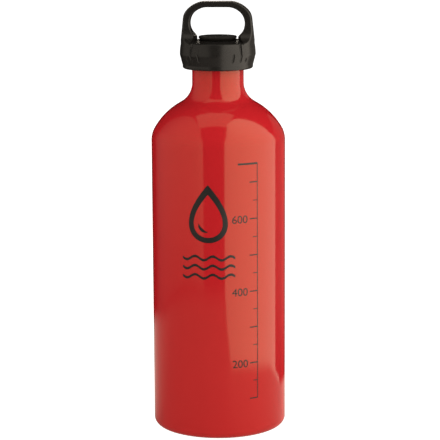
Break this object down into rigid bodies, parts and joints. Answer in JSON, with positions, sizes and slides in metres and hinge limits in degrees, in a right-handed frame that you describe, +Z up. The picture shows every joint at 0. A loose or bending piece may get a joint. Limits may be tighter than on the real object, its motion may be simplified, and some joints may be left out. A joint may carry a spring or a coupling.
{
  "type": "camping fuel bottle",
  "caption": "Tall red aluminium bottle for liquid stove fuel, with a domed shoulder, a short neck and a black push-and-turn screw cap with a carry loop.",
  "frame": {"origin": "centre of the base, on the plane that the bottle stands on", "axes": "+Z up along the bottle's axis, X in the plane of the carry loop, -Y towards the front"},
  "size_m": [0.079, 0.079, 0.2543],
  "materials": {
    "bottle_paint": "gloss enamel on aluminium",
    "bare_metal": "bare, brushed inside the neck and on the rim",
    "print_ink": "screen-printed ink, satin",
    "cap_plastic": "moulded, fine satin grain",
    "button_plastic": "moulded, satin",
    "plug_plastic": "moulded, smooth satin",
    "seal_rubber": "smooth rubber",
    "spring_steel": "flat spring wire"
  },
  "bodies": {
    "bottle": {"bottle": "bottle_paint"},
    "seal": {"o_ring": "seal_rubber"},
    "plug": {"plug": "plug_plastic", "center_button": "button_plastic"},
    "spring": {"wave_spring": "spring_steel"},
    "shell": {"cap_shell": "cap_plastic"}
  },
  "joints": [
    {"name": "cap_lift", "type": "slide", "parent": "bottle", "child": "seal", "axis": [0, 0, 1], "range_m": [0, 0.016]},
    {"name": "cap_turn", "type": "hinge", "parent": "seal", "child": "plug", "pos_m": [0, 0, 0.22066], "axis": [0, 0, 1], "range_deg": [0, 1800]},
    {"name": "shell_spin", "type": "hinge", "parent": "plug", "child": "spring", "pos_m": [0, 0, 0.22461], "axis": [0, 0, 1], "continuous": true},
    {"name": "shell_press", "type": "slide", "parent": "spring", "child": "shell", "axis": [0, 0, -1], "range_m": [0, 0.0018], "stiffness_N_per_m": 4000, "springref_m": -0.0001, "deforming": ["wave_spring"]}
  ],
  "couplings": [
    {"joint": "cap_turn", "follows": "cap_lift", "rad_per_m": 1963.5}
  ]
}
